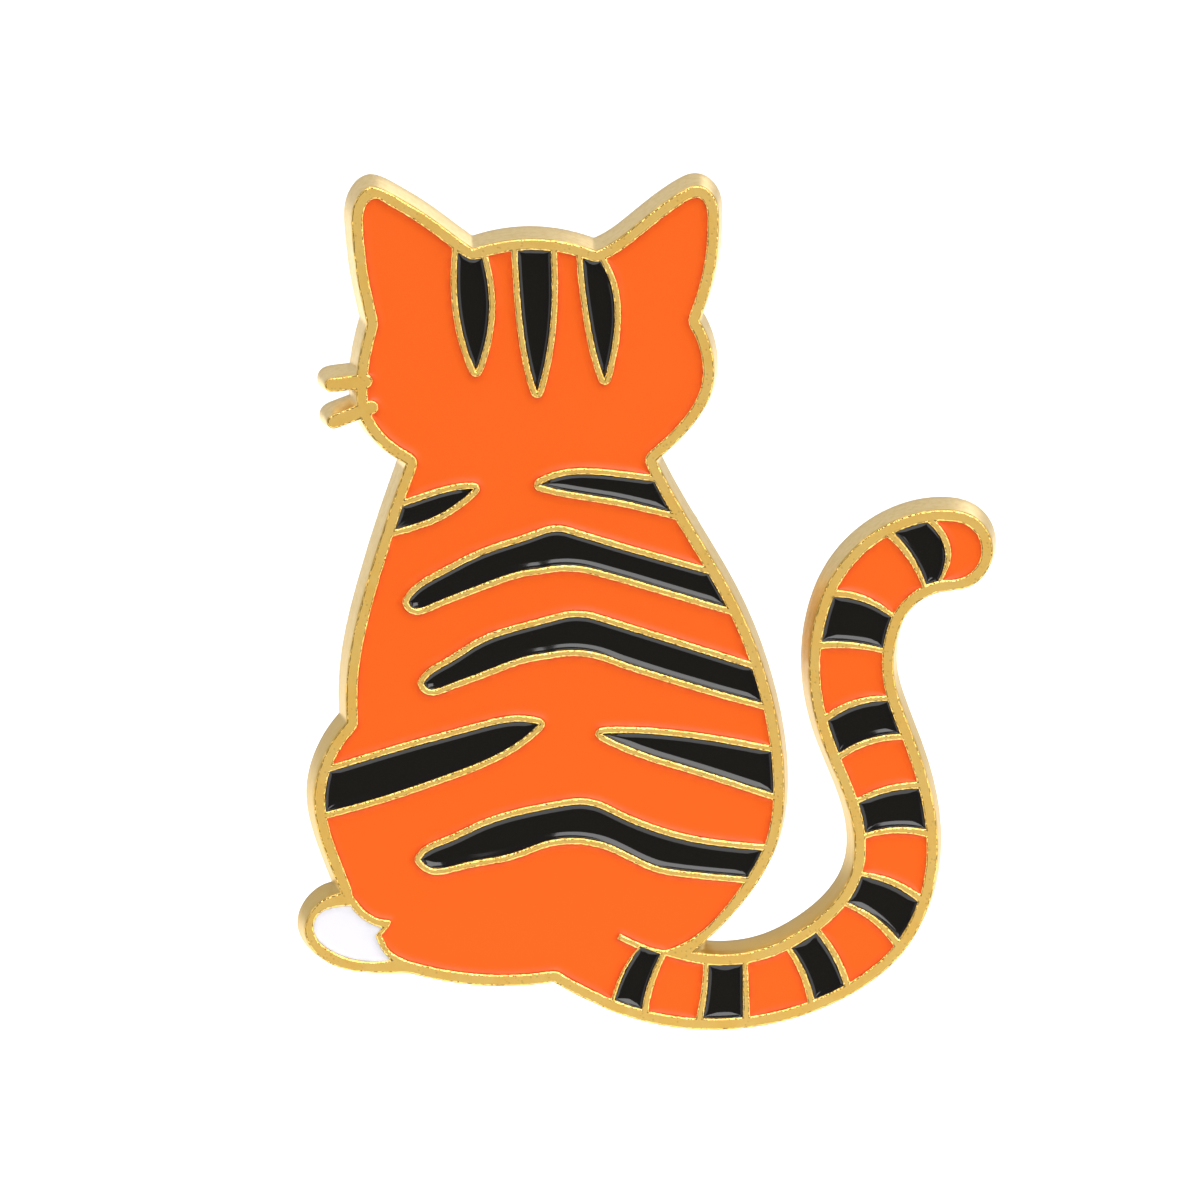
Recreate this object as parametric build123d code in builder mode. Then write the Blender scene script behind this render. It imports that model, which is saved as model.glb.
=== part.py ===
from build123d import *
import os

# Soft-enamel pin in the shape of a sitting tabby cat seen from behind, with its
# soldered post and a butterfly clutch.  Millimetres, +Z up, the pin worn upright:
# the enamel side faces -Y and the cloth side faces +Y.  The origin is where the
# axis of the post meets the flat back face.

os.makedirs("parts", exist_ok=True)

# ---- metal body: a struck plate with raised lines round sunk cells ----
plate_thickness = 1.5
wall_draft = 0.20          # the edge leans out this much from front to back
border_width = 0.40        # raised rim all round the plate
line_width = 0.23          # raised line between two colours
tail_line_width = 0.22     # its free end at the root of the tail
redraw_step = 0.6          # spacing of the points through a redrawn curve
fewest_steps = 2           # along a short redrawn curve
round_corner_steps = 6     # along the small arcs that the offset puts round corners
shortest_edge = 0.02       # slivers that the offset leaves are skipped
corner_angle = 12.0        # degrees
cell_depth = 0.50          # floor of every cell below the line tops
orange_recess = 0.10       # enamel surface below the line tops
black_recess = 0.24
white_recess = 0.10

# ---- post and solder, in a shallow pocket in the back ----
pocket_radius = 1.75
pocket_depth = 0.35
flange_radius = 1.25
flange_thickness = 0.30
solder_dip = 0.08
post_radius = 0.55
post_length = 8.0
post_point_length = 0.9
post_point_radius = 0.12
groove_radius = 0.37
groove_length = 0.55
groove_starts = (3.75, 4.8)

# ---- butterfly clutch: a rolled cup, a spring clip and its two wings ----
clutch_gap = 3.7           # back face of the plate to the face of the cup
sheet = 0.30               # thickness of the pressed brass
cup_radius = 5.7
cup_height = 1.35
cup_corner = 0.75          # where the floor starts to turn up, in from the edge
cup_hole_radius = 0.85
collar_height = 0.60       # the lip round the hole, from the face of the cup
rim_radius = 4.80          # inner edge of the rolled rim
rim_tuck = 0.10
clip_radius = 5.0
clip_lift = 0.38           # underside of the clip above the face of the cup
clip_width = 6.4
clip_hole_radius = 1.35
ridge_thickness = 0.5      # the seat under each fold
ridge_width = 4.0
ridge_height = 0.42
fold_x = 2.35              # fold line of each wing from the post
fold_lift = 1.45           # fold line above the face of the cup
fold_radius = 0.22
wing_width = 6.0
wing_height = 6.0
leaf_rise = [(0, 0), (0.15, 1.0), (0.9, 2.15), (2.1, 2.95), (2.9, 3.15)]   # out, up
leaf_corner = 1.5
jaw_radius = 0.62          # half-round notch that closes on the post
jaw_width = 2.6
jaw_tip = 0.12             # each jaw stops this far short of the middle
jaw_drop = 0.27            # underside of the jaws below the fold line
jaw_thickness = 0.25

cell_floor = Plane.XZ.offset(plate_thickness - cell_depth)


# ---- artwork, drawn flat with x to the right and y up, as seen from the front ----
# Edge of the front face, clockwise from the notch under the left ear.  Each list
# is one smooth stretch, and the corners are where two lists meet.
left_ear = [(-6.69, 11.09), (-6.98, 12.4), (-7.22, 14.3), (-7.12, 15.35), (-6.62, 15.88),
            (-5.9, 15.66), (-4.4, 14.72), (-3.04, 13.71)]
crown = [(-3.04, 13.71), (-1.2, 14.05), (1.18, 13.62)]
right_ear = [(1.18, 13.62), (2.6, 14.56), (4.1, 15.68), (4.72, 15.88), (5.24, 15.5),
             (5.4, 14.7), (5.2, 12.6), (4.75, 11.16)]
right_cheek = [(4.75, 11.16), (5.13, 10.35), (5.16, 8.6), (4.55, 7.52), (3.3, 6.28)]
right_side = [(3.3, 6.28), (4.35, 4.32), (6.15, 1.2), (7.1, -1.2), (7.74, -4.3),
              (7.42, -7.5), (6.45, -9.15), (4.68, -10.95)]
tail_root = [(4.68, -10.95), (1.0, -12.66)]
belly = [(1.0, -12.66), (0.4, -12.35), (-0.15, -12.02)]
under_body = [(-0.15, -12.02), (-1.2, -12.14), (-3.0, -12.1), (-5.2, -11.66)]
foot = [(-5.2, -11.66), (-6.9, -11.62), (-8.1, -11.2), (-8.76, -10.2), (-8.35, -9.25),
        (-7.5, -8.88)]
haunch = [(-7.5, -8.88), (-8.1, -7.3), (-8.46, -5.4), (-8.1, -4.0), (-7.33, -2.85)]
left_side = [(-7.33, -2.85), (-7.2, -0.2), (-6.72, 1.85), (-6.0, 4.25), (-5.33, 6.21)]
left_cheek = [(-5.33, 6.21), (-6.1, 6.72), (-6.85, 7.7), (-7.05, 9.2), (-6.69, 11.09)]

# Root and tip of each whisker; the roots stand a little way into the orange.
whiskers = [((-6.72, 9.1), (-7.9, 8.96)), ((-6.52, 8.18), (-7.82, 7.68))]
whisker_width = 0.5

# The orange of the body runs on into the root of the tail, as far as the first band.
rump = [(6.45, -9.15), (5.55, -10.25), (3.75, -11.33)]
tail_mouth = [(3.75, -11.33), (2.96, -11.2)]
first_band_edge = [(2.96, -11.2), (2.6, -11.7), (2.38, -12.2), (2.2, -12.8), (2.1, -13.2)]
tail_root_belly = [(2.1, -13.2), (1.0, -12.66), (0.4, -12.35), (-0.15, -12.02)]

# The line between the body and the foot, with the small tongue at its bend.
foot_line = [(-7.6, -8.3), (-7.0, -9.07), (-6.66, -9.48), (-6.18, -9.76), (-5.95, -9.8)]
foot_tongue = [(-5.95, -9.8), (-5.78, -9.86), (-5.83, -10.02), (-6.09, -10.35)]
foot_instep = [(-6.09, -10.35), (-5.95, -10.65), (-5.75, -10.94), (-5.2, -11.24), (-4.9, -11.5)]
foot_outside = [(-4.9, -11.5), (-5.2, -12.6), (-9.6, -12.6), (-9.6, -8.3), (-7.6, -8.3)]

white_top = [(-7.18, -9.31), (-7.8, -9.36), (-8.24, -9.56), (-8.45, -9.98), (-8.31, -10.48),
             (-7.81, -10.9), (-7.2, -11.16), (-6.5, -11.27), (-5.79, -11.21)]
white_instep = [(-5.79, -11.21), (-6.12, -10.8), (-6.31, -10.35)]
white_corner = [(-6.31, -10.35), (-6.1, -10.08)]
white_line = [(-6.1, -10.08), (-6.76, -9.76), (-7.18, -9.31)]

# The free end of the line that marks the root of the tail.
tail_line = [(2.08, -10.42), (2.6, -10.68), (3.1, -10.9), (3.9, -11.15)]

# Black stripes of the coat.  A stripe that meets the rim is drawn past it, and the
# rim cuts it off.
stripes = {
    "head_left": [
        [(-3.5, 14.2), (-3.6, 12.6), (-3.42, 10.9), (-2.93, 9.45)],
        [(-2.93, 9.45), (-2.58, 10.7), (-2.5, 12.0), (-2.72, 13.3), (-2.95, 14.2)],
        [(-2.95, 14.2), (-3.5, 14.2)]],
    "head_middle": [
        [(-1.54, 14.3), (-1.5, 13.3), (-1.36, 11.4), (-1.1, 9.7), (-0.82, 8.7)],
        [(-0.82, 8.7), (-0.52, 10.0), (-0.34, 12.0), (-0.38, 13.5), (-0.42, 14.3)],
        [(-0.42, 14.3), (-1.54, 14.3)]],
    "head_right": [
        [(0.7, 14.2), (0.74, 13.1), (0.93, 11.5), (1.2, 10.1), (1.5, 9.15)],
        [(1.5, 9.15), (1.76, 10.4), (1.82, 11.7), (1.6, 12.7), (1.25, 13.4), (0.9, 14.2)],
        [(0.9, 14.2), (0.7, 14.2)]],
    "neck_left": [
        [(-6.7, 4.2), (-5.47, 4.68), (-4.37, 5.06), (-3.5, 5.28), (-3.0, 5.3)],
        [(-3.0, 5.3), (-3.5, 4.86), (-4.4, 4.32), (-5.7, 3.9), (-6.9, 3.5)],
        [(-6.9, 3.5), (-6.7, 4.2)]],
    "neck_right": [
        [(-0.7, 5.44), (-0.2, 5.67), (0.45, 5.79), (1.82, 5.72), (3.2, 5.54), (4.6, 5.3)],
        [(4.6, 5.3), (4.9, 4.2)],
        [(4.9, 4.2), (3.85, 4.46), (1.82, 4.95), (0.2, 5.22), (-0.7, 5.44)]],
    "upper_back": [
        [(-5.22, 1.36), (-4.95, 1.72), (-4.1, 2.26), (-2.75, 2.96), (-1.3, 3.45), (-0.5, 3.74)],
        [(-0.5, 3.74), (-0.1, 3.8), (0.35, 3.7)],
        [(0.35, 3.7), (2.37, 3.08), (5.06, 2.3), (6.4, 1.92)],
        [(6.4, 1.92), (6.9, 0.8)],
        [(6.9, 0.8), (5.6, 1.17), (2.73, 2.05), (1.25, 2.48)],
        [(1.25, 2.48), (0.3, 2.63), (-0.7, 2.52)],
        [(-0.7, 2.52), (-2.75, 1.96), (-4.5, 1.26), (-5.05, 1.14), (-5.22, 1.36)]],
    "middle_back": [
        [(-4.68, -1.5), (-4.45, -1.2), (-3.85, -0.84), (-2.75, -0.14), (-1.3, 0.37), (-0.1, 0.69)],
        [(-0.1, 0.69), (0.6, 0.8), (1.4, 0.64)],
        [(1.4, 0.64), (3.3, 0.03), (6.5, -1.0), (7.6, -1.36)],
        [(7.6, -1.36), (8.0, -2.5)],
        [(8.0, -2.5), (6.85, -2.2), (4.44, -1.5), (2.1, -0.74)],
        [(2.1, -0.74), (0.8, -0.36), (-0.5, -0.46)],
        [(-0.5, -0.46), (-2.75, -1.14), (-4.0, -1.6), (-4.5, -1.7), (-4.68, -1.5)]],
    "flank_left": [
        [(-8.9, -4.86), (-5.64, -3.9), (-2.8, -3.12), (-1.4, -2.86), (-0.72, -2.96)],
        [(-0.72, -2.96), (-1.65, -3.72), (-3.9, -4.72), (-6.2, -5.5), (-8.9, -6.2)],
        [(-8.9, -6.2), (-8.9, -4.86)]],
    "flank_right": [
        [(1.46, -3.3), (2.2, -3.28), (3.4, -3.34), (5.5, -3.62), (8.6, -4.25)],
        [(8.6, -4.25), (8.6, -5.8)],
        [(8.6, -5.8), (7.2, -5.36), (5.0, -4.62), (2.7, -3.88), (1.46, -3.3)]],
    "lower_back": [
        [(-4.76, -7.68), (-4.5, -7.4), (-3.85, -7.12), (-2.75, -6.6), (-0.7, -6.0), (0.2, -5.84)],
        [(0.2, -5.84), (1.0, -5.8), (1.7, -6.05)],
        [(1.7, -6.05), (3.2, -6.72), (4.6, -7.12), (6.9, -7.42), (8.4, -7.55)],
        [(8.4, -7.55), (7.8, -8.5)],
        [(7.8, -8.5), (6.55, -8.36), (4.9, -8.2), (3.7, -8.04)],
        [(3.7, -8.04), (2.9, -7.75), (1.7, -7.16), (0.5, -6.95), (-0.8, -7.18)],
        [(-0.8, -7.18), (-1.9, -7.56), (-3.4, -7.84), (-4.4, -7.98), (-4.76, -7.68)]],
}

# Middle line of the tail from its root in the body to the tip, with half widths.
tail_spine = [(0.9, -10.95, 1.40), (3.2, -12.02, 1.42), (5.3, -12.4, 1.34), (7.45, -12.15, 1.34),
              (9.35, -11.3, 1.44), (10.75, -10.1, 1.50), (11.5, -8.6, 1.46), (11.65, -7.1, 1.44),
              (11.25, -5.1, 1.47), (10.48, -3.1, 1.50), (10.06, -1.3, 1.46), (10.14, 0.1, 1.46),
              (10.7, 1.6, 1.46), (11.75, 2.62, 1.46), (12.75, 3.02, 1.45), (13.5, 3.07, 1.42)]

# The lines across the tail: distance along the middle line, how much further along
# the outer end stands than the inner end, and how far the middle bows to the tip.
tail_dividers = [(1.68, -0.15, -0.21), (2.75, -0.07, -0.17), (4.33, -0.07, 0.1),
                 (5.91, -0.3, -0.03), (7.72, 0, 0.21), (9.03, -0.22, 0.19), (10.8, 0, 0.26),
                 (12.32, -0.3, 0.21), (14.1, -0.07, 0.26), (15.61, -0.07, 0.23),
                 (17.33, -0.22, 0.3), (18.78, 0.07, 0.3), (20.94, 0, 0.17), (22.48, 0.07, 0.31),
                 (24.75, 0.28, 0.17), (25.36, -0.48, 0.89)]
tail_colours = ("black", "orange")
divider_reach = 1.4        # past both edges of the enamel
past_the_tip = 3.0

spine = Spline(*[(x, y) for x, y, _ in tail_spine])


def flat_face(stretches):
    # a closed face from smooth stretches
    with BuildSketch() as face:
        with BuildLine():
            for stretch in stretches:
                if len(stretch) == 2:
                    Line(*stretch)
                else:
                    Spline(*stretch)
        make_face()
    return face.sketch


def grown_face(face, distance):
    # the face grown (or shrunk) by distance, redrawn as smooth stretches between corners
    with BuildSketch() as grown:
        add(face)
        offset(amount=distance, mode=Mode.REPLACE)
    stretches = []
    here, heading = None, None
    for edge in grown.face().outer_wire().order_edges():
        if edge.length < shortest_edge:
            continue
        steps = fewest_steps + int(edge.length / redraw_step)
        if edge.geom_type == GeomType.CIRCLE:
            steps = round_corner_steps
        places = [i / steps for i in range(steps + 1)]
        start, end = edge % 0, edge % 1
        if here and (edge @ 1 - here).length < (edge @ 0 - here).length:
            places, start, end = places[::-1], -end, -start
        if heading is None or heading.get_angle(start) > corner_angle:
            stretches.append([here if here else edge @ places[0]])
        stretches[-1] += [edge @ place for place in places[1:]]
        here, heading = stretches[-1][-1], end
    stretches[-1][-1] = stretches[0][0]
    return flat_face(stretches)


def tail_edge(inset, side):
    # points on one edge of the tail, drawn in by inset
    points = []
    for x, y, half_width in tail_spine:
        along = spine % spine.param_at_point(Vector(x, y))
        reach = (half_width - inset) * side
        points.append((x - along.Y * reach, y + along.X * reach))
    return points


def tail_face(inset):
    # the whole tail with its round tip
    inner = tail_edge(inset, 1)
    outer = tail_edge(inset, -1)
    tip = spine @ 1 + (spine % 1) * (tail_spine[-1][2] - inset)
    with BuildSketch() as face:
        with BuildLine():
            Spline(*inner)
            ThreePointArc(inner[-1], (tip.X, tip.Y), outer[-1])
            Spline(*outer)
            Line(outer[0], inner[0])
        make_face()
    return face.sketch


def halfway(a, b):
    return ((a[0] + b[0]) / 2, (a[1] + b[1]) / 2)


def divider_points(divider, shift):
    # inner end, bowed middle and outer end of a line across the tail
    station, lean, bow = divider
    points = []
    for side, ahead in ((1, -lean / 2), (0, bow), (-1, lean / 2)):
        distance = station + shift + ahead
        t = min(distance / spine.length, 1)
        along = spine % t
        centre = spine @ t + along * (distance - t * spine.length)
        reach = divider_reach * side
        points.append((centre.X - along.Y * reach, centre.Y + along.X * reach))
    return points


with BuildSketch() as plate_art:
    add(flat_face([left_ear, crown, right_ear, right_cheek, right_side, tail_root, belly,
                   under_body, foot, haunch, left_side, left_cheek]))
    add(tail_face(0))
    for root, tip in whiskers:
        SlotCenterPoint(halfway(root, tip), tip, whisker_width)

back_art = grown_face(plate_art.sketch, wall_draft)
body_field = grown_face(flat_face([left_ear, crown, right_ear, right_cheek,
                                   right_side[:-2] + rump, tail_mouth, first_band_edge,
                                   tail_root_belly, under_body, foot, haunch, left_side,
                                   left_cheek]), -border_width)

cells = {}      # name of each cell: (its sketch, its colour)
white_cell = flat_face([white_top, white_instep, white_corner, white_line])
cells["white_foot_enamel"] = (white_cell, "white")

stripe_borders = []
for place, stretches in stripes.items():
    stripe = flat_face(stretches)
    stripe_borders.append(grown_face(stripe, line_width))
    with BuildSketch() as cell:
        add(stripe)
        add(body_field, mode=Mode.INTERSECT)
    cells[f"black_{place}_enamel"] = (cell.sketch, "black")

with BuildSketch() as orange_cell:
    add(body_field)
    add(flat_face([foot_line, foot_tongue, foot_instep, foot_outside]), mode=Mode.SUBTRACT)
    with BuildLine():
        Spline(*tail_line)
    trace(line_width=tail_line_width, mode=Mode.SUBTRACT)
    for border in stripe_borders:
        add(border, mode=Mode.SUBTRACT)
    for root, tip in whiskers:
        SlotCenterPoint(halfway(root, tip), tip, whisker_width, mode=Mode.SUBTRACT)
cells["orange_body_enamel"] = (orange_cell.sketch, "orange")

tail_field = tail_face(border_width)
tail_starts = tail_dividers
tail_ends = tail_dividers[1:] + [(spine.length + past_the_tip, 0, 0)]
for number, (start, end) in enumerate(zip(tail_starts, tail_ends)):
    lower = divider_points(start, line_width / 2)
    upper = divider_points(end, -line_width / 2)
    with BuildSketch() as cell:
        with BuildLine():
            Spline(*lower)
            Line(lower[-1], upper[-1])
            Spline(*upper[::-1])
            Line(upper[0], lower[0])
        make_face()
        add(tail_field, mode=Mode.INTERSECT)
    colour = tail_colours[number % 2]
    cells[f"{colour}_tail_{number // 2 + 1}_enamel"] = (cell.sketch, colour)


# ---- metal body and enamel ----
with BuildPart() as metal_body:
    with BuildSketch(Plane.XZ):
        add(back_art)
    extrude(amount=plate_thickness)
    with BuildSketch(cell_floor):
        for cell, _ in cells.values():
            add(cell)
    extrude(amount=cell_depth, mode=Mode.SUBTRACT)
    with BuildSketch(Plane.XZ):
        Circle(pocket_radius)
    extrude(amount=pocket_depth, mode=Mode.SUBTRACT)
metal_body.part.label = "metal_body"
export_step(metal_body.part, "parts/metal_body.step")

recess = {"orange": orange_recess, "black": black_recess, "white": white_recess}
for name, (cell, colour) in cells.items():
    with BuildPart() as enamel:
        with BuildSketch(cell_floor):
            add(cell)
        extrude(amount=cell_depth - recess[colour])
    enamel.part.label = name
    export_step(enamel.part, f"parts/{name}.step")


# ---- post, soldered into its pocket ----
flange_top = -pocket_depth + flange_thickness
with BuildPart() as post:
    with BuildSketch(Plane.XY):
        with BuildLine():
            Polyline((0, -pocket_depth), (flange_radius, -pocket_depth),
                     (flange_radius, flange_top), (post_radius, flange_top),
                     (post_radius, post_length - post_point_length),
                     (post_point_radius, post_length), (0, post_length), close=True)
        make_face()
    revolve(axis=Axis.Y)
    for start in groove_starts:
        with BuildSketch(Plane.XY):
            with Locations((groove_radius, start)):
                Rectangle(post_radius, groove_length, align=(Align.MIN, Align.MIN))
        revolve(axis=Axis.Y, mode=Mode.SUBTRACT)
post.part.label = "post"
export_step(post.part, "parts/post.step")

with BuildPart() as solder_ring:
    with BuildSketch(Plane.XY):
        with BuildLine():
            Polyline((flange_radius, flange_top), (flange_radius, -pocket_depth),
                     (pocket_radius, -pocket_depth), (pocket_radius, flange_top))
            ThreePointArc((pocket_radius, flange_top),
                          ((pocket_radius + flange_radius) / 2, flange_top - solder_dip),
                          (flange_radius, flange_top))
        make_face()
    revolve(axis=Axis.Y)
solder_ring.part.label = "solder_ring"
export_step(solder_ring.part, "parts/solder_ring.step")


# ---- butterfly clutch ----
with BuildPart() as clutch_disc:
    with BuildSketch(Plane.XY):
        with BuildLine() as wall:
            l1 = Line((cup_hole_radius + sheet / 2, clutch_gap + sheet / 2),
                      (cup_radius - cup_corner, clutch_gap + sheet / 2))
            l2 = ThreePointArc(l1 @ 1, (cup_radius - sheet / 2, clutch_gap + cup_height / 2),
                               (cup_radius - cup_corner, clutch_gap + cup_height - sheet / 2))
            Line(l2 @ 1, (rim_radius, clutch_gap + cup_height - sheet / 2 - rim_tuck))
        trace(line_width=sheet)
        with Locations((cup_hole_radius, clutch_gap)):
            Rectangle(sheet, collar_height, align=(Align.MIN, Align.MIN))
    revolve(axis=Axis.Y)
clutch_disc.part.label = "clutch_disc"
export_step(clutch_disc.part, "parts/clutch_disc.step")

clip_base = clutch_gap + clip_lift
with BuildPart() as clutch_clip:
    with BuildSketch(Plane.XZ.offset(-clip_base)):
        Circle(clip_radius)
        Rectangle(2 * clip_radius, clip_width, mode=Mode.INTERSECT)
        Circle(clip_hole_radius, mode=Mode.SUBTRACT)
    extrude(amount=-sheet)
    with BuildSketch(Plane.XZ.offset(-clip_base - sheet)):
        with Locations((fold_x, 0), (-fold_x, 0)):
            Rectangle(ridge_thickness, ridge_width)
    extrude(amount=-ridge_height)
clutch_clip.part.label = "clutch_clip"
export_step(clutch_clip.part, "parts/clutch_clip.step")

fold_y = clutch_gap + fold_lift
for side, name in ((-1, "left_wing"), (1, "right_wing")):
    with BuildPart() as wing:
        with BuildSketch(Plane.XY):
            with Locations((side * fold_x, fold_y)):
                Circle(fold_radius)
            with BuildLine():
                Spline(*[(side * (fold_x + out), fold_y + up) for out, up in leaf_rise])
            trace(line_width=sheet)
        extrude(amount=wing_width / 2, both=True)
        with BuildSketch(Plane.XZ.offset(-fold_y + fold_radius)):
            RectangleRounded(2 * (fold_x + leaf_rise[-1][0] + sheet), wing_width, leaf_corner)
        extrude(amount=-wing_height, mode=Mode.INTERSECT)
        with BuildSketch(Plane.XZ.offset(-fold_y + jaw_drop)):
            with Locations((side * (fold_x + jaw_tip) / 2, 0)):
                Rectangle(fold_x - jaw_tip, jaw_width)
            Circle(jaw_radius, mode=Mode.SUBTRACT)
        extrude(amount=-jaw_thickness)
    wing.part.label = name
    export_step(wing.part, f"parts/{name}.step")
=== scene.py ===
import math

import bmesh
import bpy
import numpy as np
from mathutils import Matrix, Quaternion, Vector, geometry, noise


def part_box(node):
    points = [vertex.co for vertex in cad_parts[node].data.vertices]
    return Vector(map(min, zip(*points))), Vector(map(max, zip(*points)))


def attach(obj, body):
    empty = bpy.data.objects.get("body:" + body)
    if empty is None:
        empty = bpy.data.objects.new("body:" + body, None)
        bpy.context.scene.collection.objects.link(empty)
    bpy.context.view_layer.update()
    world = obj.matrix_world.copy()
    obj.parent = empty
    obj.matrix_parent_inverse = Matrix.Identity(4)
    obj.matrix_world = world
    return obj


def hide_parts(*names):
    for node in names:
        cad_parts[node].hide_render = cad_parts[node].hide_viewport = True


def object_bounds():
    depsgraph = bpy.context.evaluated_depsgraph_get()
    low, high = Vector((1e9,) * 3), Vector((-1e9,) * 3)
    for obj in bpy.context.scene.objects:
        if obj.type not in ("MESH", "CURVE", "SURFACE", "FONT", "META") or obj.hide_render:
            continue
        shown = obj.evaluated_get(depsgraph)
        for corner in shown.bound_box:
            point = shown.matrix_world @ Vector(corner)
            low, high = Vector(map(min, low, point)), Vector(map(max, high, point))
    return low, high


for leftover in ("Cube", "Light", "Camera"):
    if leftover in bpy.data.objects:
        bpy.data.objects.remove(bpy.data.objects[leftover])
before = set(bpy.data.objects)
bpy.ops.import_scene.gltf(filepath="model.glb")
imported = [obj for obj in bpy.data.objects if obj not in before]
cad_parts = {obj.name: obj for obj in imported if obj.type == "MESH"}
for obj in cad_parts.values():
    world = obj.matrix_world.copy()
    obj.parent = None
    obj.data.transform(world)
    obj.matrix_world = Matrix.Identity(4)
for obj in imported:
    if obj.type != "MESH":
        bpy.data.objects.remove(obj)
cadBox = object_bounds()
print("frame loaded")

mm = 0.001
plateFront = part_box("metal_body")[0].y      # the line tops
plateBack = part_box("metal_body")[1].y       # the face against the cloth
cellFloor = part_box("orange_body_enamel")[1].y


def frontOutlines(nodeName):
    # a bmesh that holds only the edge loops round a CAD node's front face
    bm = bmesh.new()
    bm.from_mesh(bpy.data.objects[nodeName].data)
    bmesh.ops.remove_doubles(bm, verts=bm.verts, dist=0.002 * mm)
    front = min(v.co.y for v in bm.verts)
    others = [f for f in bm.faces
              if max(v.co.y for v in f.verts) > front + 0.001 * mm or abs(f.normal.y) < 0.9]
    bmesh.ops.delete(bm, geom=others, context="FACES")
    inner = [e for e in bm.edges if len(e.link_faces) != 1]
    bmesh.ops.delete(bm, geom=list(bm.faces), context="FACES_ONLY")
    bmesh.ops.delete(bm, geom=inner, context="EDGES")
    loose = [v for v in bm.verts if not v.link_edges]
    bmesh.ops.delete(bm, geom=loose, context="VERTS")
    return bm


def refine(bm, step):
    # split every edge until none is longer than step
    byCuts = {}
    for edge in bm.edges:
        cuts = int(edge.calc_length() / step)
        if cuts:
            byCuts.setdefault(cuts, []).append(edge)
    for cuts, edges in byCuts.items():
        bmesh.ops.subdivide_edges(bm, edges=edges, cuts=cuts)


def orderedLoops(bm):
    # the outline's closed loops, each a list of vertices in order
    loops = []
    seen = set()
    for start in bm.verts:
        if start in seen or len(start.link_edges) != 2:
            continue
        loop = [start]
        seen.add(start)
        while True:
            ahead = [e.other_vert(loop[-1]) for e in loop[-1].link_edges]
            ahead = [v for v in ahead if v not in seen]
            if not ahead:
                break
            loop.append(ahead[0])
            seen.add(ahead[0])
        if len(loop) > 8:
            loops.append(loop)
    return loops


def flatPoints(loop):
    return np.array([(v.co.x, v.co.z) for v in loop])


def signedArea(points):
    x, z = points[:, 0], points[:, 1]
    return 0.5 * float(np.sum(x * np.roll(z, -1) - np.roll(x, -1) * z))


def turned(points):
    # how sharply the outline turns at each point, in radians
    back = points - np.roll(points, 1, axis=0)
    ahead = np.roll(points, -1, axis=0) - points
    cross = back[:, 0] * ahead[:, 1] - back[:, 1] * ahead[:, 0]
    return np.arctan2(cross, (back * ahead).sum(axis=1))


def eased(points, passes=6, sharp=0.35):
    # take the facets out of a refined outline, and leave its corners
    fixed = np.abs(turned(points)) > sharp
    for _ in range(passes):
        middle = (np.roll(points, 1, axis=0) + np.roll(points, -1, axis=0)) / 2
        points = np.where(fixed[:, None], points, (points + middle) / 2)
    return points


def outward(points):
    # the direction out of a closed outline at each point, longer at its corners
    side = 1.0 if signedArea(points) > 0 else -1.0
    edge = np.roll(points, -1, axis=0) - points
    edge /= np.maximum(np.linalg.norm(edge, axis=1), 1e-12)[:, None]
    normal = np.stack([edge[:, 1], -edge[:, 0]], axis=1) * side
    both = normal + np.roll(normal, 1, axis=0)
    both /= np.maximum(np.linalg.norm(both, axis=1), 1e-9)[:, None]
    cosine = np.clip((both * normal).sum(axis=1), 0.45, 1.0)
    return both / cosine[:, None]


def inwardRoom(points):
    # how far each point can move straight in before it meets the middle of the shape
    inward = -outward(points)
    inward /= np.linalg.norm(inward, axis=1)[:, None]
    away = points[None, :, :] - points[:, None, :]
    along = (away * inward[:, None, :]).sum(axis=2)
    squared = (away ** 2).sum(axis=2)
    reach = np.where(along > 1e-9, squared / np.maximum(2 * along, 1e-12), 1.0)
    room = reach.min(axis=1)
    for _ in range(12):     # it changes only gradually along the outline
        beside = np.minimum(np.roll(room, 1), np.roll(room, -1))
        room = np.minimum(room, beside + 0.4 * body["step"])
    return room


def placeLoop(loop, points, y):
    for vert, (x, z) in zip(loop, points):
        vert.co = (x, y, z)


def ringOn(bm, loop, points, y, zone, zoneLayer):
    # grow a strip of faces from one loop to a new loop at the given place
    pairs = [(loop[i], loop[(i + 1) % len(loop)]) for i in range(len(loop))]
    edges = [bm.edges.get(pair) for pair in pairs]
    grown = bmesh.ops.extrude_edge_only(bm, edges=edges)["geom"]
    for face in (g for g in grown if isinstance(g, bmesh.types.BMFace)):
        face[zoneLayer] = zone
        face.smooth = True
    old = set(loop)
    partner = {}
    for edge in (g for g in grown if isinstance(g, bmesh.types.BMEdge)):
        a, b = edge.verts
        if (a in old) != (b in old):
            partner[a if a in old else b] = b if a in old else a
    newVerts = {g for g in grown if isinstance(g, bmesh.types.BMVert)}
    for vert in loop:
        if vert not in partner:
            for edge in vert.link_edges:
                if edge.other_vert(vert) in newVerts:
                    partner[vert] = edge.other_vert(vert)
    newLoop = [partner[v] for v in loop]
    placeLoop(newLoop, points, y)
    return newLoop


def loopEdges(bm, loop):
    return [bm.edges.get((loop[i], loop[(i + 1) % len(loop)])) for i in range(len(loop))]


def asObject(bm, name, material):
    mesh = bpy.data.meshes.new(name)
    bm.to_mesh(mesh)
    bm.free()
    piece = bpy.data.objects.new(name, mesh)
    bpy.context.scene.collection.objects.link(piece)
    mesh.materials.append(material)
    return piece


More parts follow.
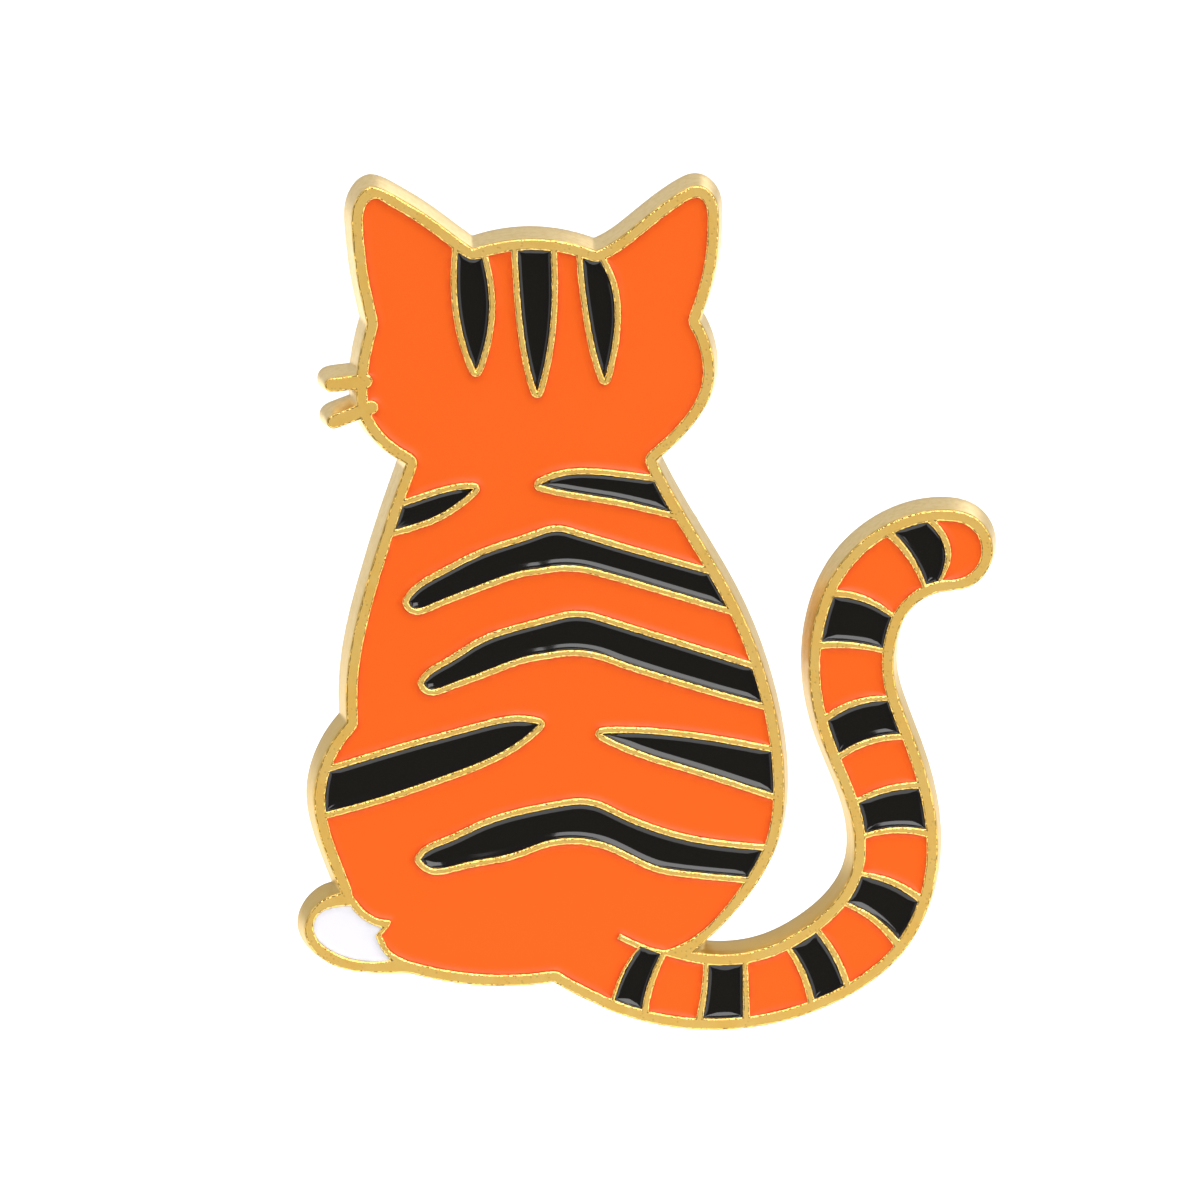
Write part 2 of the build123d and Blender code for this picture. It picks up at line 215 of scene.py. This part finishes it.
class Signal:
    # one output socket; arithmetic on it adds Math nodes
    def __init__(self, finish, socket):
        self.finish = finish
        self.socket = socket

    def maths(self, operation, *values):
        return self.finish.node("ShaderNodeMath", {"operation": operation},
                                dict(enumerate(values)))

    def __add__(self, other):
        return self.maths("ADD", self, other)

    def __radd__(self, other):
        return self.maths("ADD", other, self)

    def __sub__(self, other):
        return self.maths("SUBTRACT", self, other)

    def __rsub__(self, other):
        return self.maths("SUBTRACT", other, self)

    def __mul__(self, other):
        return self.maths("MULTIPLY", self, other)

    def __rmul__(self, other):
        return self.maths("MULTIPLY", other, self)

    def __truediv__(self, other):
        return self.maths("DIVIDE", self, other)

    def __gt__(self, other):
        return self.maths("GREATER_THAN", self, other)

    def __lt__(self, other):
        return self.maths("LESS_THAN", self, other)

    def between(self, low, high):
        # 0 below low, 1 above high, smooth in between
        return self.finish.node("ShaderNodeMapRange", {"interpolation_type": "SMOOTHSTEP"},
                                {"Value": self, "From Min": low, "From Max": high})


class Finish:
    # the node tree of a material, or of the world
    def __init__(self, owner):
        owner.use_nodes = True
        self.owner = owner
        self.tree = owner.node_tree
        self.tree.nodes.clear()

    def node(self, kind, settings=None, sockets=None, output=0):
        made = self.tree.nodes.new(kind)
        for setting, value in (settings or {}).items():
            setattr(made, setting, value)
        for socket, value in (sockets or {}).items():
            if isinstance(value, Signal):
                self.tree.links.new(value.socket, made.inputs[socket])
            else:
                made.inputs[socket].default_value = value
        return Signal(self, made.outputs[output]) if len(made.outputs) else None

    def place(self, shift=(0, 0, 0)):
        # where a point is on the piece, moved so that no two patterns line up
        own = self.node("ShaderNodeTexCoord", output="Object")
        return self.node("ShaderNodeMapping", {}, {"Vector": own, "Location": shift})

    def height(self):
        # millimetres above the post
        own = self.node("ShaderNodeTexCoord", output="Object")
        return self.node("ShaderNodeSeparateXYZ", {}, {"Vector": own}, "Z") / mm

    def scatter(self, perMm, detail=2.0, shift=(0, 0, 0)):
        # smooth noise from 0 to 1 with so many lumps to the millimetre
        return self.node("ShaderNodeTexNoise", {}, {"Vector": self.place(shift),
                                                    "Scale": perMm / mm, "Detail": detail})

    def specks(self, perMm, size, shift=(0, 0, 0)):
        # round specks, 1 at their middles and 0 between them
        far = self.node("ShaderNodeTexVoronoi", {}, {"Vector": self.place(shift),
                                                     "Scale": perMm / mm})
        return 1 - far.between(size * 0.4, size)

    def attribute(self, name):
        return self.node("ShaderNodeAttribute", {"attribute_name": name}, {}, "Fac")

    def zone(self, number):
        # 1 on the faces marked with this number
        mark = self.attribute("zone")
        return (mark > number - 0.5) * (mark < number + 0.5)

    def blend(self, factor, a, b):
        return self.node("ShaderNodeMix", {"data_type": "RGBA"}, {0: factor, 6: a, 7: b}, 2)

    def bump(self, height):
        # height is in metres
        return self.node("ShaderNodeBump", {}, {"Height": height, "Distance": 1.0, "Strength": 1.0})

    def done(self, **values):
        shader = self.node("ShaderNodeBsdfPrincipled", {}, {
            name.replace("_", " "): value for name, value in values.items()})
        self.node("ShaderNodeOutputMaterial", {}, {"Surface": shader})
        return self.owner


def newFinish(name):
    return Finish(bpy.data.materials.new(name))


# numbers that mark the faces of the struck body
topZone, edgeZone, wallZone, backZone, cellZone, paintedRimShadeZone = range(6)

plate = {
    "face": (1.0, 0.68, 0.20, 1),
    "worn": (0.95, 0.61, 0.15, 1),
    "wall": (0.86, 0.66, 0.32, 1),
    # painted shade: the darker, more golden colour of the walls low down, also used for the random
    # streaks
    "wallShadeAndStreaks": (0.66, 0.45, 0.12, 1),
    "pit": (0.36, 0.21, 0.05, 1),
    "paintedRimShade": (0.46, 0.30, 0.09, 1),      # painted shade: a dark line on the rounded edge between the face and the wall, standing in for the dim room it would reflect
    "back": (0.76, 0.50, 0.16, 1),
    "paintedWallShadeHeights": (-8, 7),             # heights in mm over which the painted shade on the walls fades, darker and more golden below, the lit wall colour above
    "cloudsPerMm": 1.1,
    "grainPerMm": 16,
    "crumbsPerMm": 9,
    "streaksPerMm": 5,
    "pitsPerMm": 5.5,
    "pitSize": 0.30,                    # share of the room that a pit has
    "roughness": 0.50,
    "grainHeight": 0.0010,              # heights in mm
    "edgeCrumbs": 0.045,
    "backCrumbs": 0.008,
    "wallCrumbs": 0.006,
    "faceCrumbs": 0.0010,
    "pitDepth": 0.010,
}


def platedGold():
    gold = newFinish("struck_gold_plate")
    edge, wall, back = gold.zone(edgeZone), gold.zone(wallZone), gold.zone(backZone)
    # painted shade along the outer rounded edge, broken up by noise
    paintedRimShade = gold.zone(paintedRimShadeZone) * gold.scatter(2.2, 2, (0, 0, 0.01)).between(0.30, 0.55)
    clouds = gold.scatter(plate["cloudsPerMm"], 3)
    grain = gold.scatter(plate["grainPerMm"])
    crumbs = gold.scatter(plate["crumbsPerMm"], 1, (0.01, 0, 0))
    streaks = gold.scatter(plate["streaksPerMm"], 2, (0, 0.01, 0)).between(0.35, 0.75)
    # pits come in patches, and mostly on the edges of the lines
    patches = gold.scatter(1.6, 1, (0, 0.02, 0)).between(0.44, 0.54)
    pits = gold.specks(plate["pitsPerMm"], plate["pitSize"]) * patches
    pits = pits * (0.35 + edge * 0.65) * (1 - wall)

    colour = gold.blend(clouds.between(0.35, 0.7), plate["face"], plate["worn"])
    # painted shade: the walls darker and more golden towards the bottom, lit colour towards the top
    high = gold.height().between(*plate["paintedWallShadeHeights"])
    wallColour = gold.blend(high, plate["wallShadeAndStreaks"], plate["wall"])
    wallColour = gold.blend(streaks * 0.35, wallColour, plate["wallShadeAndStreaks"])
    colour = gold.blend(wall, colour, wallColour)
    colour = gold.blend(back * (0.7 + clouds * 0.3), colour, plate["back"])
    colour = gold.blend(pits * 0.8, colour, plate["pit"])
    colour = gold.blend(paintedRimShade * 0.85, colour, plate["paintedRimShade"])

    roughness = plate["roughness"] + clouds * 0.10 - edge * 0.30 - wall * 0.16 + back * 0.06
    fine = grain * plate["grainHeight"] * (1 - edge)
    coarse = crumbs * (edge * plate["edgeCrumbs"] + back * plate["backCrumbs"]
                       + wall * plate["wallCrumbs"] + plate["faceCrumbs"])
    return gold.done(Base_Color=colour, Metallic=1.0, Roughness=roughness,
                     Normal=gold.bump((fine + coarse - pits * plate["pitDepth"]) * mm))


enamels = {     # colour in the middle and, darker as painted shade, at the metal, roughness, height of the waves in mm
    "orange": ((0.93, 0.124, 0.003, 1), (0.84, 0.080, 0.002, 1), 0.36, 0.010),
    "black": ((0.007, 0.006, 0.004, 1), (0.005, 0.003, 0.006, 1), 0.06, 0.004),
    "white": ((0.90, 0.88, 0.93, 1), (0.74, 0.73, 0.78, 1), 0.32, 0.010),
}


def curedEnamel(colourName):
    # soft enamel: settled flat, with painted shade making it a little darker where it climbs the
    # metal
    middle, rim, roughness, wave = enamels[colourName]
    paint = newFinish("soft_enamel_" + colourName)
    drift = paint.scatter(0.25)
    dust = paint.specks(1.3, 0.07, (0, 0.03, 0))
    uneven = paint.scatter(2.5, 2, (0.02, 0, 0)).between(0.35, 0.6)
    # painted shade near the metal, broken up by noise
    colour = paint.blend(paint.attribute("shore") * (0.35 + 0.65 * uneven), middle, rim)
    swell = (paint.scatter(0.5, 1) + paint.scatter(5, 1) * 0.03) * wave
    return paint.done(Base_Color=colour, Roughness=roughness + drift * 0.06 + dust * 0.12,
                      Normal=paint.bump(swell * mm))


goldFinish = platedGold()
enamelFinishes = {colourName: curedEnamel(colourName) for colourName in enamels}
print("finishes made")


body = {
    "step": 0.08 * mm,          # spacing of the points along every line
    "lineRound": 0.055 * mm,    # rounded edge of the raised lines
    "draft": 0.20 * mm,         # lean of the outer wall
    "backRound": 0.12 * mm,     # tumbled edge at the back
    "raggedness": 0.018 * mm,   # how uneven the struck edges are
    "raggedNoise": ((3.0, 1.0), (8.0, 0.8)),    # lumps to the millimetre, and their share
}
quarter = [math.radians(degrees) for degrees in (30, 60, 90)]   # steps round a rounded edge


def ragged(points, amount):
    # shift points a little, each way, by a fixed noise
    moved = points.copy()
    for i, (x, z) in enumerate(points):
        for perMm, share in body["raggedNoise"]:
            shift = noise.noise_vector(Vector((x, 0.0, z)) * (perMm / mm))
            moved[i] += (shift.x * amount * share, shift.z * amount * share)
    return moved


def fillFlat(bm, edges, facing, zone, zoneLayer):
    # flat faces between closed loops, facing along Y
    filled = bmesh.ops.triangle_fill(bm, use_beauty=True, use_dissolve=False, edges=edges,
                                     normal=(0, facing, 0))["geom"]
    for face in (g for g in filled if isinstance(g, bmesh.types.BMFace)):
        face[zoneLayer] = zone


def closeBack(bm, backLoop, zoneLayer):
    # the flat back with the round pocket that the post is soldered into
    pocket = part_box("solder_ring")
    circle = bmesh.ops.create_circle(bm, cap_ends=False, radius=pocket[1].x, segments=96)["verts"]
    for vert in circle:
        vert.co = (vert.co.x, plateBack, vert.co.y)
    mouth = sorted(circle, key=lambda v: math.atan2(v.co.z, v.co.x))
    fillFlat(bm, loopEdges(bm, backLoop) + loopEdges(bm, mouth), 1, backZone, zoneLayer)
    bottom = ringOn(bm, mouth, flatPoints(mouth), pocket[0].y, backZone, zoneLayer)
    for face in bmesh.ops.edgeloop_fill(bm, edges=loopEdges(bm, bottom))["faces"]:
        face[zoneLayer] = backZone


def rimRing(bm, here, points, depth, inset, zone, zoneLayer, rough=0.0):
    # one ring of the outer wall; inset is what the rounded edge takes off it
    lean = body["draft"] * (1 - depth / (plateBack - plateFront))
    ring = points - outward(points) * (lean + inset)
    return ringOn(bm, here, ragged(ring, rough), plateFront + depth, zone, zoneLayer)


def strikeRim(bm, loop, points, zoneLayer):
    # the outer edge, from the face down to the back
    curl = body["lineRound"]
    thick = plateBack - plateFront
    start = points - outward(points) * (body["draft"] + curl)
    placeLoop(loop, ragged(start, body["raggedness"]), plateFront)
    here = loop
    for angle in quarter:
        # the outer rings of the rounded edge carry the painted dark line of shade
        zone = edgeZone if angle == quarter[0] else paintedRimShadeZone
        here = rimRing(bm, here, points, curl * (1 - math.cos(angle)),
                       curl * (1 - math.sin(angle)), zone, zoneLayer,
                       body["raggedness"] * math.cos(angle))
    for part in (0.33, 0.66):
        depth = curl + (thick - curl - body["backRound"]) * part
        here = rimRing(bm, here, points, depth, 0, wallZone, zoneLayer)
    here = ringOn(bm, here, points, plateBack - body["backRound"], wallZone, zoneLayer)
    for angle in quarter:
        ring = points - outward(points) * body["backRound"] * (1 - math.cos(angle))
        here = ringOn(bm, here, ring, plateBack - body["backRound"] * (1 - math.sin(angle)),
                      wallZone, zoneLayer)
    return here


def sinkCell(bm, loop, points, zoneLayer):
    # a cell for the enamel, with rounded lines round it
    out = outward(points)
    curl = body["lineRound"]
    placeLoop(loop, ragged(points + out * curl, body["raggedness"]), plateFront)
    here = loop
    for angle in quarter:
        ring = points + out * curl * (1 - math.sin(angle))
        here = ringOn(bm, here, ragged(ring, body["raggedness"] * math.cos(angle)),
                      plateFront + curl * (1 - math.cos(angle)), edgeZone, zoneLayer)
    here = ringOn(bm, here, points, cellFloor, cellZone, zoneLayer)
    for face in bmesh.ops.edgeloop_fill(bm, edges=loopEdges(bm, here))["faces"]:
        face[zoneLayer] = cellZone


def strikeBody():
    bm = frontOutlines("metal_body")
    zoneLayer = bm.faces.layers.float.new("zone")
    refine(bm, body["step"])
    loops = orderedLoops(bm)
    outlines = [eased(flatPoints(loop)) for loop in loops]
    rim = max(range(len(loops)), key=lambda i: abs(signedArea(outlines[i])))
    for i, (loop, points) in enumerate(zip(loops, outlines)):
        if i == rim:
            backLoop = strikeRim(bm, loop, points, zoneLayer)
        else:
            sinkCell(bm, loop, points, zoneLayer)
    fillFlat(bm, [e for loop in loops for e in loopEdges(bm, loop)], -1, topZone, zoneLayer)
    closeBack(bm, backLoop, zoneLayer)
    bmesh.ops.recalc_face_normals(bm, faces=bm.faces)
    piece = asObject(bm, "struck_body", goldFinish)
    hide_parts("metal_body")
    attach(piece, "pin")


strikeBody()
print("body struck")


pours = {
    "orange": {"edge": 0.050, "level": 0.100, "reach": 0.30},
    "black": {"edge": 0.070, "level": 0.175, "reach": 0.29},
    "white": {"edge": 0.050, "level": 0.100, "reach": 0.30},
}
pourSettings = {
    "rings": 8,             # strips in the slope up to the metal
    "tuck": 0.008 * mm,     # the paint's edge runs this far into the wall
    "room": 0.88,           # a ring goes this share of the way to the middle of a narrow place
    "mesh": 0.4 * mm,       # spacing of the points in the flat middle
    "gap": 0.1 * mm,        # and how far they keep from the slope
}


def sunkDepth(shape, reach):
    # how far below the line tops the paint lies, so far in from the metal
    part = np.clip(reach / (shape["reach"] * mm), 0, 1)
    return (shape["edge"] + (shape["level"] - shape["edge"]) * (1 - (1 - part) ** 2)) * mm


def fromOutline(points, places):
    # distance of each place from a closed outline, and whether it is inside
    ahead = np.roll(points, -1, axis=0)
    run = ahead - points
    away = places[:, None, :] - points[None, :, :]
    along = (away * run).sum(axis=2) / np.maximum((run ** 2).sum(axis=1), 1e-18)
    foot = away - run * np.clip(along, 0, 1)[:, :, None]
    far = np.sqrt((foot ** 2).sum(axis=2).min(axis=1))
    crosses = (points[:, 1] > places[:, 1:]) != (ahead[:, 1] > places[:, 1:])
    slope = run[:, 0] / np.where(run[:, 1] == 0, 1e-18, run[:, 1])
    left = away[:, :, 0] < away[:, :, 1] * slope
    return far, (crosses & left).sum(axis=1) % 2 == 1


def fillMiddle(bm, here, points, shape):
    # close the flat middle with small faces, so that it takes the paint's true depth
    low, high = points.min(axis=0), points.max(axis=0)
    grid = np.stack(np.meshgrid(np.arange(low[0], high[0], pourSettings["mesh"]),
                                np.arange(low[1], high[1], pourSettings["mesh"])), axis=2)
    places = grid.reshape(-1, 2)
    far, inside = fromOutline(points, places)
    places = places[inside & (far > shape["reach"] * mm + pourSettings["gap"])]
    corners = [Vector((v.co.x, v.co.z)) / mm for v in here]
    corners += [Vector(place) / mm for place in places]
    rim = [(i, (i + 1) % len(here)) for i in range(len(here))]
    made, _, triangles, origins, _, _ = geometry.delaunay_2d_cdt(corners, rim, [], 1, 1e-7)
    verts = []
    for place, origin in zip(made, origins):
        if origin and origin[0] < len(here):
            verts.append(here[origin[0]])
        else:
            spot = (place.x * mm, plateFront + shape["level"] * mm, place.y * mm)
            verts.append(bm.verts.new(spot))
    for triangle in triangles:
        if len({verts[i] for i in triangle}) == 3:
            bm.faces.new([verts[i] for i in triangle])


def pour(nodeName):
    colour = nodeName.split("_")[0]
    shape = pours[colour]
    bm = frontOutlines(nodeName)
    zoneLayer = bm.faces.layers.float.new("zone")
    refine(bm, body["step"])
    loop = max(orderedLoops(bm), key=len)
    points = eased(flatPoints(loop))
    out = outward(points)
    unit = out / np.linalg.norm(out, axis=1)[:, None]
    room = inwardRoom(points) * pourSettings["room"]
    placeLoop(loop, points + out * pourSettings["tuck"], plateFront + shape["edge"] * mm)
    skirt = ringOn(bm, loop, points + out * pourSettings["tuck"], cellFloor, 0, zoneLayer)
    bmesh.ops.edgeloop_fill(bm, edges=loopEdges(bm, skirt))
    here = loop
    slope = np.minimum(shape["reach"] * mm, room)
    for number in range(1, pourSettings["rings"] + 1):
        reach = slope * number / pourSettings["rings"]
        here = ringOn(bm, here, points - unit * reach[:, None], 0, 1, zoneLayer)
        for vert, sunk in zip(here, sunkDepth(shape, reach)):
            vert.co.y = plateFront + sunk
    fillMiddle(bm, here, points, shape)
    bmesh.ops.recalc_face_normals(bm, faces=bm.faces)
    # how far up the slope each point lies, which the enamel finish uses for its painted shade
    shoreLayer = bm.verts.layers.float.new("shore")
    for vert in bm.verts:
        part = (vert.co.y - plateFront) / mm
        vert[shoreLayer] = min(max((shape["level"] - part) / (shape["level"] - shape["edge"]), 0), 1)
    for face in bm.faces:
        face.smooth = True
    piece = asObject(bm, nodeName.replace("_enamel", "_pour"), enamelFinishes[colour])
    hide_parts(nodeName)
    colour + "_enamel"
    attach(piece, "pin")


for nodeName in [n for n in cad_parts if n.endswith("_enamel")]:
    pour(nodeName)
print("enamel poured")


def platedBrass(name, colour, shade, roughness, scratch):
    # thin bright plating over pressed brass, with the marks of the tool; scratch is in mm
    brass = newFinish(name)
    clouds = brass.scatter(0.8, 3)
    draw = brass.scatter(7, 2, (0.03, 0, 0))
    nicks = brass.specks(2.2, 0.09, (0, 0, 0.02)) * brass.scatter(0.9, 1).between(0.5, 0.62)
    tone = brass.blend(clouds.between(0.35, 0.7), colour, shade)
    return brass.done(Base_Color=tone, Metallic=1.0,
                      Roughness=roughness + clouds * 0.12 + nicks * 0.2,
                      Normal=brass.bump((draw * scratch - nicks * 0.006) * mm))


def platedSolder():
    solder = newFinish("plated_solder")
    blobs = solder.scatter(3)
    return solder.done(Base_Color=(0.80, 0.70, 0.48, 1), Metallic=1.0, Roughness=0.28 + blobs * 0.2,
                       Normal=solder.bump(blobs * 0.03 * mm))


brassFinish = platedBrass("bright_clutch_brass", (0.86, 0.62, 0.25, 1), (0.78, 0.54, 0.20, 1),
                          0.18, 0.0010)
postFinish = platedBrass("gold_plated_post", (0.84, 0.58, 0.20, 1), (0.78, 0.51, 0.16, 1),
                         0.22, 0.0014)
hardware = {        # node: body, slot, finish, width of its softened edges
    "clutch_disc": ("cup", "clutch_brass", brassFinish, 0.05 * mm),
    "clutch_clip": ("clip", "clutch_brass", brassFinish, 0.04 * mm),
    "left_wing": ("left_wing", "clutch_brass", brassFinish, 0.06 * mm),
    "right_wing": ("right_wing", "clutch_brass", brassFinish, 0.06 * mm),
    "post": ("pin", "post_metal", postFinish, 0.03 * mm),
}


def softenEdges(nodeName, bodyName, finish, width):
    # a copy of the turned or pressed part with its sharp edges broken
    bm = bmesh.new()
    bm.from_mesh(bpy.data.objects[nodeName].data)
    bmesh.ops.remove_doubles(bm, verts=bm.verts, dist=0.002 * mm)
    bmesh.ops.dissolve_limit(bm, angle_limit=math.radians(1), verts=bm.verts, edges=bm.edges)
    sharp = [e for e in bm.edges if len(e.link_faces) == 2
             and e.calc_face_angle() > math.radians(35)]
    bmesh.ops.bevel(bm, geom=sharp, offset=width, affect="EDGES", segments=3, profile=0.5,
                    material=-1, clamp_overlap=True)
    for face in bm.faces:
        face.smooth = True
    piece = asObject(bm, nodeName + "_finished", finish)
    weigh = piece.modifiers.new("flat faces stay flat", "WEIGHTED_NORMAL")
    weigh.keep_sharp = True
    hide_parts(nodeName)
    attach(piece, bodyName)


for nodeName, (bodyName, slotName, finish, width) in hardware.items():
    softenEdges(nodeName, bodyName, finish, width)
bpy.data.objects["solder_ring"].material_slots[0].material = platedSolder()
print("clutch and post finished")


view = {
    "across": 41.3 * mm,        # what the frame takes in at the plate
    "aim": (1.376 * mm, plateFront, 1.404 * mm),
    "elevation": 11.0,
    "azimuth": -3.0,
    "roll": 0.3,
    "lens": 1000.0,
    "sensor": 36.0,
}
camera = bpy.data.objects.new("camera", bpy.data.cameras.new("camera"))
bpy.context.scene.collection.objects.link(camera)
camera.data.lens = view["lens"]
camera.data.sensor_width = view["sensor"]
camera.data.clip_start = 0.001
distance = view["across"] * view["lens"] / view["sensor"]
lift = math.radians(view["elevation"])
swing = math.radians(view["azimuth"])
toCamera = Vector((math.sin(swing) * math.cos(lift), -math.cos(swing) * math.cos(lift),
                   math.sin(lift)))
camera.location = Vector(view["aim"]) + toCamera * distance
facing = toCamera.to_track_quat("Z", "Y") @ Quaternion((0, 0, 1), math.radians(view["roll"]))
camera.rotation_euler = facing.to_euler()
bpy.context.scene.camera = camera


def softLight(name, place, aim, size, glow):
    # an area light that looks the given brightness from the front
    data = bpy.data.lights.new(name, "AREA")
    data.shape = "RECTANGLE"
    data.size, data.size_y = size
    data.energy = glow * math.pi * size[0] * size[1]
    lamp = bpy.data.objects.new(name, data)
    lamp.location = place
    lamp.rotation_euler = (Vector(place) - Vector(aim)).to_track_quat("Z", "Y").to_euler()
    bpy.context.scene.collection.objects.link(lamp)


lamps = {       # direction from the pin, distance, width, height, glow
    "key_upper_right": ((0.30, -0.82, 0.48), 0.40, 0.30, 0.20, 4.6),
    "panel_top": ((0.00, -0.34, 0.94), 0.25, 0.34, 0.18, 2.6),
    "panel_left": ((-0.94, -0.34, 0.10), 0.25, 0.18, 0.28, 0.8),
    "panel_right": ((0.94, -0.34, 0.05), 0.25, 0.18, 0.28, 1.4),
    "back_upper_left": ((0.45, 0.75, 0.48), 0.35, 0.16, 0.16, 1.2),
}
for name, (direction, far, width, height, glow) in lamps.items():
    softLight(name, Vector(direction).normalized() * far, (0, 0, 0), (width, height), glow)

# white to the camera; to the metal, dim in front of the pin and bright behind it
room = Finish(bpy.data.worlds.new("white_room"))
direction = room.node("ShaderNodeTexCoord", output="Generated")
ahead = room.node("ShaderNodeSeparateXYZ", {}, {"Vector": direction}, "Y")
seen = room.node("ShaderNodeLightPath", output="Is Camera Ray")
dim = 0.20 + 0.70 * ahead.between(-0.6, 0.4)
room.node("ShaderNodeOutputWorld", {}, {"Surface": room.node(
    "ShaderNodeBackground", {}, {"Strength": seen + (1 - seen) * dim})})
bpy.context.scene.world = room.owner

studio = {
    "floorSize": 0.4,           # half its width
    "floorBehind": 0.36,        # its middle lies this far behind the pin
    "floorBelow": 30 * mm,
    "floorGlow": 0.8,
}
paper = newFinish("white_paper").done(Base_Color=(0.8, 0.8, 0.8, 1), Roughness=0.9,
                                      Emission_Color=(1, 1, 1, 1),
                                      Emission_Strength=studio["floorGlow"])
floorMesh = bmesh.new()
bmesh.ops.create_grid(floorMesh, x_segments=1, y_segments=1, size=studio["floorSize"])
floor = asObject(floorMesh, "floor", paper)
floor.location = (0, studio["floorBehind"], cadBox[0].z - studio["floorBelow"])
bpy.context.scene.view_settings.view_transform = "Standard"
print("camera and light set")
